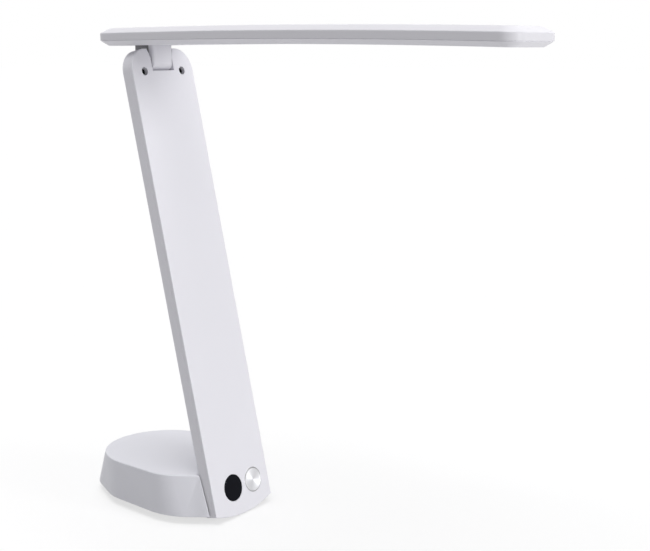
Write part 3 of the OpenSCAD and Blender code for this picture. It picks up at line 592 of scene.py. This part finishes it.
cut(neck, [lathe("pin_way", [(0, -20), (PIN_WAY_R, -20), (PIN_WAY_R, 20), (0, 20)], HEAD_AXIS,
    Matrix.Rotation(math.radians(90), 3, "Y"), 48)])
shade(neck, 40)
dress(neck, neck_white, "tongue_plastic", "head", "hinge_tongue")
# The neck's two sides, behind a plane just in front of the hinge, get the dark grey: painted shade for the
# shadow between the ears and the head.
score(neck, above_axis(0, NECK_SHADE_FROM, 0), (0, 1, 0))
second_finish(neck, neck_side_shade, lambda face: abs(face.normal.x) > 0.99
    and face.center.y > above_axis(0, NECK_SHADE_FROM, 0).y * MM)

# --- Stem: a front cover and a rear tray that share one outline ---
SAG_R = (STEM_HALF ** 2 + STEM_SAG ** 2) / (2 * STEM_SAG)


def stem_ring(inset, deep, slot_inset):
    """Outline of the stem drawn in by inset, with the slot between its ears, at a depth."""
    side = STEM_HALF - STEM_DRAFT * (1 - deep / STEM_T)
    half, r = side - inset, STEM_TOP_R - inset
    foot_r, foot_up = SAG_R - inset, SAG_R - STEM_SAG
    points = []
    for i in range(33):
        x = -half + 2 * half * i / 32
        points.append((x, foot_up - math.sqrt(foot_r ** 2 - x ** 2)))
    ears = []
    for i in range(15):
        a = math.pi / 2 * i / 14
        ears.append((side - STEM_TOP_R + r * math.cos(a), STEM_LEN - STEM_TOP_R + r * math.sin(a)))
    ears.append((SLOT_HALF + slot_inset + EAR_CHAMFER[0], STEM_LEN - inset))
    ears.append((SLOT_HALF + slot_inset, STEM_LEN - inset - EAR_CHAMFER[1]))
    ears.append((SLOT_HALF + slot_inset, STEM_LEN - SLOT_DEEP - slot_inset))
    points += ears + [(-x, up) for x, up in reversed(ears)]
    return [in_stem(x, deep, up) for x, up in points]


def stem_loft(name, profile, radii, slot_share):
    return loft(name, [stem_ring(i, d, i * slot_share) for i, d in soften(profile, radii)])


FACE_IN, BACK_IN = 3.2, 2.8
face = stem_loft("stem_face",
    [(FACE_IN, COVER_T), (0, COVER_T), (0, 0), (FACE_IN, 0)],
    [0, 0.25, 0.7, 0], 0.3)


def hole(name, x, up, r, deep0, deep1, sides=96):
    """A round cutter that runs into the stem from its front."""
    return lathe(name, [(0, -deep1), (r, -deep1), (r, -deep0), (0, -deep0)], in_stem(x, 0, up),
        stem_turn(), sides)


EAR_X, EAR_UP, EAR_R, EAR_SEAT, EAR_SHANK_R = 18.9, 314, 2.9, 3.5, 1.4
WINDOW_WAY_R, BUTTON_WAY_R, WAY_DEEP = 9.55, 8.95, 9
cups = [lathe("cup", [(0, -4.5), (EAR_R + 1.2, -4.5), (EAR_R + 1.2, -1), (0, -1)],
    in_stem(s * EAR_X, 0, EAR_UP), stem_turn(), 64) for s in (-1, 1)]
cut(face, cups, "UNION")
cut(face, [hole("way", WINDOW_X, CONTROL_UP, WINDOW_WAY_R, -2, WAY_DEEP),
    hole("way", BUTTON_X, CONTROL_UP, BUTTON_WAY_R, -2, WAY_DEEP)]
    + [hole("way", s * EAR_X, EAR_UP, EAR_R, -2, EAR_SEAT, 64) for s in (-1, 1)]
    + [hole("way", s * EAR_X, EAR_UP, EAR_SHANK_R, 0, WAY_DEEP, 32) for s in (-1, 1)])
shade(face)
dress(face, stem_white, "stem_plastic", "stem", "stem_front_cover")

back = stem_loft("stem_back",
    [(BACK_IN, STEM_T), (0, STEM_T), (0, COVER_T), (STEM_WALL, COVER_T), (STEM_WALL, STEM_T - STEM_WALL),
     (BACK_IN, STEM_T - STEM_WALL)],
    [0, 1.5, 0.25, 0, 0, 0], 1)
# The rear tray lets the two arms of the fold hinge in, and ends flat just above the floor
FOLD_UP = 27.79
ARM_OUT, ARM_IN, ARM_HALF = 18.25, 7.25, 1.8


def stem_box(name, x0, x1, deep0, deep1, up0, up1):
    """A box set square to the stem."""
    return prism(name, [(x0, deep0), (x1, deep0), (x1, deep1), (x0, deep1)], up0, up1, in_stem)


SOLE_Z = 0.2
below = [(-60, -100), (60, -100), (60, -40), (-60, -40)]
cut(back, [prism("way", below, -10, SOLE_Z, as_placed)]
    + [stem_box("way", s * ARM_IN, s * ARM_OUT, STEM_T - 3, STEM_T + 1, FOLD_UP - ARM_HALF,
    FOLD_UP + ARM_HALF) for s in (-1, 1)])
shade(back)
dress(back, stem_white, "stem_plastic", "stem", "stem_rear_shell")

# --- Controls ---
LENS_R, CONTROL_BACK = 9.4, -2.9
lens_edge = soften([(LENS_R, CONTROL_BACK), (LENS_R, 0.06), (0, 0.1)], [0, 0.35, 0])
window = lathe("window_lens", [(0, CONTROL_BACK), (LENS_R, CONTROL_BACK)] + [tuple(p) for p in lens_edge],
    in_stem(WINDOW_X, 0, CONTROL_UP), stem_turn())
shade(window, 50)
dress(window, window_black, "window_black", "stem", "touch_window")

BEZEL_OUT, BEZEL_IN, BEZEL_TOP, BEZEL_BACK = 8.93, 8.35, 0.2, -2
ring = lathe("button_bezel",
    soften([(BEZEL_OUT, BEZEL_BACK), (BEZEL_OUT, BEZEL_TOP), (BEZEL_IN, BEZEL_TOP), (BEZEL_IN, BEZEL_BACK)],
        [0, 0.25, 0.25, 0], 4) + [(BEZEL_OUT, BEZEL_BACK)], BUTTON_CENTRE, stem_turn())
shade(ring, 50)
dress(ring, ring_metal, "ring_metal", "stem", "button_ring")

DISH_R, DISH_DEEP, DISH_EDGE = 7.5, 0.14, 0.24
BUTTON_R, BUTTON_TOP, SKIRT_R, SKIRT_TOP = 8.2, 0.3, 9.1, -2.35
dish = [(DISH_R * t, DISH_EDGE - DISH_DEEP * (1 - t * t)) for t in (1 - i / 14 for i in range(15))]
button = lathe("button_cap",
    [(0, CONTROL_BACK), (SKIRT_R, CONTROL_BACK), (SKIRT_R, SKIRT_TOP), (BUTTON_R, SKIRT_TOP)]
    + soften([(BUTTON_R, SKIRT_TOP), (BUTTON_R, BUTTON_TOP), (DISH_R + 0.15, BUTTON_TOP)], [0, 0.3, 0], 4)
    + dish, BUTTON_CENTRE, stem_turn())
shade(button, 50)
dress(button, button_metal, "button_metal", "button", "power_button")

# --- Base: one shell whose outline grows from the rim to the foot ---
RIM_R, TAIL_R, TAIL_RUN = 43.7, 32, 12.6
FRONT_HALF, SIDE_FLARE = 46.3, 1.58
CORNER_R, CORNER_FOOT_R, CORNER_FWD, CORNER_LEAN = 30.8, 44.4, 30.8, 4.1
CHEEK_TOP, CHEEK_LOW, CHEEK_X, TIP_R = 7.7, 5.2, 32.55, 0.3
RING_SIDES = 240


def base_ring(z, inset):
    """The hull of the outline's rounds at a height, drawn in by inset, with one point for each facing."""
    k = (RIM_Z - z) / (RIM_Z - SHELL_Z)
    front_r = CORNER_R + (CORNER_FOOT_R - CORNER_R) * k
    cheek = CHEEK_TOP + (CHEEK_LOW - CHEEK_TOP) * k
    cheek_y = STEM_FOOT.y + cheek / math.cos(LEAN) + (z - STEM_FOOT.z) * math.tan(LEAN)
    rounds = [(0, 0, RIM_R - inset), (0, RIM_R - TAIL_R + TAIL_RUN * k, TAIL_R - inset)]
    for s in (-1, 1):
        rounds.append((s * (FRONT_HALF + SIDE_FLARE * k - front_r), -CORNER_FWD - CORNER_LEAN * k,
            front_r - inset))
        rounds.append((s * (CHEEK_X - inset - TIP_R), cheek_y + inset + TIP_R, TIP_R))
    ring_points = []
    for i in range(RING_SIDES):
        a = 2 * math.pi * (i + 0.5) / RING_SIDES
        nx, ny = math.cos(a), math.sin(a)
        x, y, r = max(rounds, key=lambda c: c[0] * nx + c[1] * ny + c[2])
        ring_points.append(Vector((x + r * nx, y + r * ny, z)))
    return ring_points


def base_loft(name, profile, radii):
    return loft(name, [base_ring(z, i) for i, z in soften(profile, radii)])


def fold_prism(name, outline, half):
    """A prism along the fold axis, from an outline of (y, z) about it."""
    return prism(name, outline, -half, half, lambda y, z, x: FOLD_AXIS + Vector((x, y, z)))


def slab(piece, deep):
    """Keeps only what lies deeper than a plane parallel to the stem's face."""
    work = bmesh.new()
    work.from_mesh(piece.data)
    cut_at = in_stem(0, deep, 0) * MM
    geometry = work.verts[:] + work.edges[:] + work.faces[:]
    result = bmesh.ops.bisect_plane(work, geom=geometry, dist=1e-7, plane_co=cut_at,
        plane_no=STEM_FACING, clear_outer=True)
    rim = [e for e in result["geom_cut"] if isinstance(e, bmesh.types.BMEdge)]
    bmesh.ops.contextual_create(work, geom=rim)
    bmesh.ops.recalc_face_normals(work, faces=work.faces)
    work.to_mesh(piece.data)
    work.free()


shell = base_loft("base_body", [(4, SHELL_Z), (0, SHELL_Z), (0, RIM_Z), (4, RIM_Z)], [0, 0.7, 0.9, 0])
hollow = base_loft("hollow", [(6, SHELL_Z - 2), (BASE_WALL, SHELL_Z - 2), (BASE_WALL, RIM_Z - BASE_WALL),
    (6, RIM_Z - BASE_WALL)], [0, 0, 0, 0])
slab(hollow, STEM_T + 0.4 + BASE_WALL)
BAY_HALF, BAY_DEEP, CHEEK_ROUND, SEAM_SHADE_DEEP = 32.1, 9.9, 2, 8.4
ROLL_R, ROLL_FAR, ROLL_TURN = 4.1, 70, math.radians(77.3)
BARREL_R, BARREL_HALF = 4.4, 19.6
INLET_AT, INLET_WAY_R, INLET_WAY_DEEP = Vector((0, 40, 21.5)), 4.15, 30
roll = [(-ROLL_R * math.sin(a), ROLL_R * math.cos(a)) for a in (ROLL_TURN * i / 16 for i in range(17))]
roll += [(-ROLL_FAR * math.sin(ROLL_TURN), ROLL_FAR * math.cos(ROLL_TURN)), (-ROLL_FAR, ROLL_FAR),
    (0, ROLL_FAR)]
barrel = [(BARREL_R * math.cos(math.pi * i / 24), BARREL_R * math.sin(math.pi * i / 24)) for i in range(48)]
rim_end = STEM_FOOT.y + CHEEK_TOP / math.cos(LEAN) + (RIM_Z - STEM_FOOT.z) * math.tan(LEAN)
foot_end = STEM_FOOT.y + CHEEK_LOW / math.cos(LEAN) + (SHELL_Z - STEM_FOOT.z) * math.tan(LEAN)
down = Vector((foot_end - rim_end, SHELL_Z - RIM_Z)).normalized() * 5
corner_arc = soften([(rim_end + 5, RIM_Z), (rim_end, RIM_Z), (rim_end + down.x, RIM_Z + down.y)],
    [0, CHEEK_ROUND, 0], 8)[1:-1]
corner_out = [(rim_end + down.x - 4, RIM_Z - 3), (rim_end - 4, RIM_Z + 3), (corner_arc[0].x, RIM_Z + 3)]
cut(shell, [
    hollow,
    prism("way", [tuple(p) for p in corner_arc] + corner_out, -60, 60, lambda y, z, x: as_placed(x, y, z)),
    stem_box("way", -BAY_HALF, BAY_HALF, -60, BAY_DEEP, -40, 120),
    fold_prism("way", roll, BAY_HALF),
    fold_prism("way", barrel, BARREL_HALF),
    lathe("way", [(0, -INLET_WAY_DEEP), (INLET_WAY_R, -INLET_WAY_DEEP), (INLET_WAY_R, 0), (0, 0)], INLET_AT,
        Matrix.Rotation(math.radians(90), 3, "X"), 64),
])
shade(shell)
dress(shell, base_white, "base_plastic", "base", "base_shell")
# The bay's two side faces, up to a plane a little short of the stem's back, are painted near-black: painted
# shade in the seam between the base and the stem.
seam_shade_end = in_stem(0, SEAM_SHADE_DEEP, 0)
score(shell, seam_shade_end, STEM_FACING)
second_finish(shell, seam_shade_paint, lambda face: abs(face.normal.x) > 0.999
    and abs(abs(face.center.x) - BAY_HALF * MM) < 1e-5
    and (face.center - seam_shade_end * MM).dot(STEM_FACING) > 0)


# --- Screws and feet: Geometry Nodes sets one shape out on marked points ---
def set_out(name, points, turn, sizes, finish, build):
    """Puts what build makes on each point, turned alike, and bakes the result to a mesh."""
    piece = make_piece(name, points, [])
    group = bpy.data.node_groups.new(name + "_nodes", "GeometryNodeTree")
    group.interface.new_socket("Geometry", in_out="INPUT", socket_type="NodeSocketGeometry")
    for label in sizes:
        group.interface.new_socket(label, in_out="INPUT", socket_type="NodeSocketFloat")
    group.interface.new_socket("Geometry", in_out="OUTPUT", socket_type="NodeSocketGeometry")
    way_in = group.nodes.new("NodeGroupInput")
    way_out = group.nodes.new("NodeGroupOutput")
    spread = group.nodes.new("GeometryNodeInstanceOnPoints")
    real = group.nodes.new("GeometryNodeRealizeInstances")
    paint = group.nodes.new("GeometryNodeSetMaterial")
    spread.inputs["Rotation"].default_value = turn.to_euler()
    paint.inputs["Material"].default_value = finish
    join = group.links.new
    join(way_in.outputs["Geometry"], spread.inputs["Points"])
    join(build(group, way_in), spread.inputs["Instance"])
    join(spread.outputs["Instances"], real.inputs["Geometry"])
    join(real.outputs["Geometry"], paint.inputs["Geometry"])
    join(paint.outputs["Geometry"], way_out.inputs["Geometry"])
    step = piece.modifiers.new("set_out", "NODES")
    step.node_group = group
    for item in group.interface.items_tree:
        if item.in_out == "INPUT" and item.name in sizes:
            step[item.identifier] = sizes[item.name] * MM
    bake(piece)
    return piece


def maths(group, operation, a, b):
    node = group.nodes.new("ShaderNodeMath")
    node.operation = operation
    for socket, value in zip(node.inputs, (a, b)):
        if isinstance(value, (int, float)):
            socket.default_value = value
        else:
            group.links.new(value, socket)
    return node.outputs["Value"]


def along_z(group, value):
    node = group.nodes.new("ShaderNodeCombineXYZ")
    group.links.new(value, node.inputs["Z"])
    return node.outputs["Vector"]


def moved(group, mesh, vector):
    node = group.nodes.new("GeometryNodeTransform")
    group.links.new(mesh, node.inputs["Geometry"])
    group.links.new(vector, node.inputs["Translation"])
    return node.outputs["Geometry"]


def without(group, mesh, *tools):
    node = group.nodes.new("GeometryNodeMeshBoolean")
    node.operation = "DIFFERENCE"
    group.links.new(mesh, node.inputs["Mesh 1"])
    for tool in tools:
        group.links.new(tool, node.inputs["Mesh 2"])
    return node.outputs["Mesh"]


def disc(group, top, low, height, sides=48):
    """A short cone from z = 0 up, with a smaller top."""
    node = group.nodes.new("GeometryNodeMeshCone")
    node.inputs["Vertices"].default_value = sides
    for label, value in (("Radius Top", top), ("Radius Bottom", low), ("Depth", height)):
        group.links.new(value, node.inputs[label])
    return node.outputs["Mesh"]


def bar(group, long, wide, high):
    size = group.nodes.new("ShaderNodeCombineXYZ")
    for label, value in (("X", long), ("Y", wide), ("Z", high)):
        group.links.new(value, size.inputs[label])
    node = group.nodes.new("GeometryNodeMeshCube")
    group.links.new(size.outputs["Vector"], node.inputs["Size"])
    return node.outputs["Mesh"]


def joined(group, *meshes):
    node = group.nodes.new("GeometryNodeJoinGeometry")
    for mesh in meshes:
        group.links.new(mesh, node.inputs["Geometry"])
    return node.outputs["Geometry"]


def screw_nodes(group, way_in):
    """A pan head with a cross recess on a shank. The head's top is at the point, the shank runs down."""
    size = way_in.outputs
    head_h, head_r = size["Head height"], size["Head radius"]
    bevel = maths(group, "MULTIPLY", head_h, 0.35)
    lower_h = maths(group, "SUBTRACT", head_h, bevel)
    drop = maths(group, "MULTIPLY", head_h, -1)
    lower = moved(group, disc(group, head_r, head_r, lower_h), along_z(group, drop))
    crown = moved(group, disc(group, maths(group, "MULTIPLY", head_r, 0.8), head_r, bevel),
        along_z(group, maths(group, "MULTIPLY", bevel, -1)))
    long = maths(group, "MULTIPLY", head_r, 1.15)
    deep = maths(group, "MULTIPLY", head_h, 1.1)
    recess = (bar(group, long, size["Recess width"], deep), bar(group, size["Recess width"], long, deep))
    cross = without(group, crown, *recess)
    cross_low = without(group, lower, *recess)
    shank = moved(group, disc(group, size["Shank radius"], size["Shank radius"], size["Shank length"], 24),
        along_z(group, maths(group, "SUBTRACT", drop, size["Shank length"])))
    return joined(group, cross, cross_low, shank)


def foot_nodes(group, way_in):
    """A rubber foot with a bevelled sole and a round recess in it. Its sole is at the point."""
    size = way_in.outputs
    edge_h = maths(group, "MULTIPLY", size["Height"], 0.18)
    sole_r = maths(group, "SUBTRACT", size["Radius"], edge_h)
    sole = moved(group, disc(group, sole_r, size["Radius"], edge_h), along_z(group,
        maths(group, "MULTIPLY", edge_h, -1)))
    body_h = maths(group, "SUBTRACT", size["Height"], edge_h)
    body = moved(group, disc(group, size["Radius"], size["Radius"], body_h), along_z(group,
        maths(group, "MULTIPLY", size["Height"], -1)))
    cup_r = maths(group, "MULTIPLY", size["Radius"], 0.45)
    cup = moved(group, disc(group, cup_r, cup_r, size["Height"]), along_z(group,
        maths(group, "MULTIPLY", edge_h, -0.7)))
    return joined(group, without(group, sole, cup), body)


DOWN = Matrix.Rotation(math.pi, 3, "X")
PLATE_Z, HEAD_PROUD = 4.4, 0.4
SCREW = {"Head radius": 2.5, "Head height": 1.2, "Recess width": 0.7, "Shank radius": 1.15}
PLATE_SCREWS, FEET = ((29, 22), (33, -38)), ((19, 32), (24, -48))
SET_OUT = (
    # The ear screws take the near-black steel: their own dark colour, partly painted shade for their deep
    # recesses.
    ("ear_screws", [in_stem(s * EAR_X, EAR_SEAT - 1.2, EAR_UP) for s in (-1, 1)], stem_turn(),
     {**SCREW, "Shank length": 4.5}, screw_dark_and_shade, screw_nodes, "dark_screw", "stem", "cover_screws"),
    ("head_screws", [above_axis(x, y, HEAD_RISE + HEAD_PROUD) for x, y in TONGUE_SCREWS], DOWN,
     {**SCREW, "Shank length": 6.5}, screw_steel, screw_nodes, "screw_steel", "head", "tongue_screws"),
    ("sole_screws", [Vector((s * x, y, PLATE_Z + HEAD_PROUD)) for x, y in PLATE_SCREWS for s in (-1, 1)],
     DOWN, {**SCREW, "Shank length": 11}, screw_steel, screw_nodes, "screw_steel", "base", "plate_screws"),
    ("sole_feet", [Vector((s * x, y, 0)) for x, y in FEET for s in (-1, 1)], DOWN,
     {"Radius": 6, "Height": 5.2}, foot_rubber, foot_nodes, "foot_rubber", "base", "rubber_feet"),
)
for name, points, turn, sizes, finish, build, slot, body, node in SET_OUT:
    piece = set_out(name, points, turn, sizes, finish, build)
    shade(piece, 30)
    dress(piece, finish, slot, body, node)

# --- Stage: pale floor, white surroundings and two soft lights ---
FLOOR_HALF = 15
floor = bpy.data.objects.new("floor", bpy.data.meshes.new("floor"))
corners = [(sx * FLOOR_HALF, sy * FLOOR_HALF, 0) for sx, sy in ((-1, -1), (1, -1), (1, 1), (-1, 1))]
floor.data.from_pydata(corners, [], [(0, 1, 2, 3)])
scene.collection.objects.link(floor)


def seen_directly(tree):
    """1 for what the camera sees, directly or in a mirror or through glass."""
    path = tree.nodes.new("ShaderNodeLightPath").outputs
    first = maths(tree, "MAXIMUM", path["Is Camera Ray"], path["Is Glossy Ray"])
    return maths(tree, "MAXIMUM", first, path["Is Transmission Ray"])


FLOOR_BOUNCE, FLOOR_SHADOWED, FLOOR_GLOW = 0.63, 0.34, 0.66
floor_paint = bpy.data.materials.new("studio_floor")
floor_paint.use_nodes = True
tree = floor_paint.node_tree
tree.nodes.clear()
speckle = noise_on(tree, place_on(tree), 40, 3)


def matt_floor(value):
    node = tree.nodes.new("ShaderNodeBsdfDiffuse")
    tree.links.new(blend_of(tree, speckle, [value * 0.995] * 3, [value] * 3), node.inputs["Color"])
    return node.outputs[0]


glow = tree.nodes.new("ShaderNodeEmission")
glow.inputs["Color"].default_value = (FLOOR_GLOW, FLOOR_GLOW, FLOOR_GLOW, 1)
glow.inputs["Strength"].default_value = 1
shown = tree.nodes.new("ShaderNodeAddShader")
tree.links.new(matt_floor(FLOOR_SHADOWED), shown.inputs[0])
tree.links.new(glow.outputs[0], shown.inputs[1])
mix = tree.nodes.new("ShaderNodeMixShader")
tree.links.new(seen_directly(tree), mix.inputs["Fac"])
tree.links.new(matt_floor(FLOOR_BOUNCE), mix.inputs[1])
tree.links.new(shown.outputs[0], mix.inputs[2])
tree.links.new(mix.outputs[0], tree.nodes.new("ShaderNodeOutputMaterial").inputs["Surface"])
floor.data.materials.append(floor_paint)

AMBIENT = 0.24
world = bpy.data.worlds.new("studio")
scene.world = world
world.use_nodes = True
tree = world.node_tree
tree.nodes.clear()
soft = tree.nodes.new("ShaderNodeBackground")
soft.inputs["Color"].default_value = (0.97, 0.97, 1.0, 1)
soft.inputs["Strength"].default_value = AMBIENT
white = tree.nodes.new("ShaderNodeBackground")
white.inputs["Color"].default_value = (1, 1, 1, 1)
white.inputs["Strength"].default_value = 1
mix = tree.nodes.new("ShaderNodeMixShader")
tree.links.new(seen_directly(tree), mix.inputs["Fac"])
tree.links.new(soft.outputs[0], mix.inputs[1])
tree.links.new(white.outputs[0], mix.inputs[2])
tree.links.new(mix.outputs[0], tree.nodes.new("ShaderNodeOutputWorld").inputs["Surface"])


def soft_sun(name, toward, strength, width):
    """An even, soft light that comes from a direction."""
    light = bpy.data.lights.new(name, "SUN")
    light.energy = strength
    light.angle = math.radians(width)
    obj = bpy.data.objects.new(name, light)
    obj.rotation_euler = Vector(toward).to_track_quat("Z", "Y").to_euler()
    scene.collection.objects.link(obj)


soft_sun("overhead", (-0.05, 0.02, 1), 2.3, 50)
soft_sun("front_side", (0.156, -0.984, 0.087), 1.66, 16)
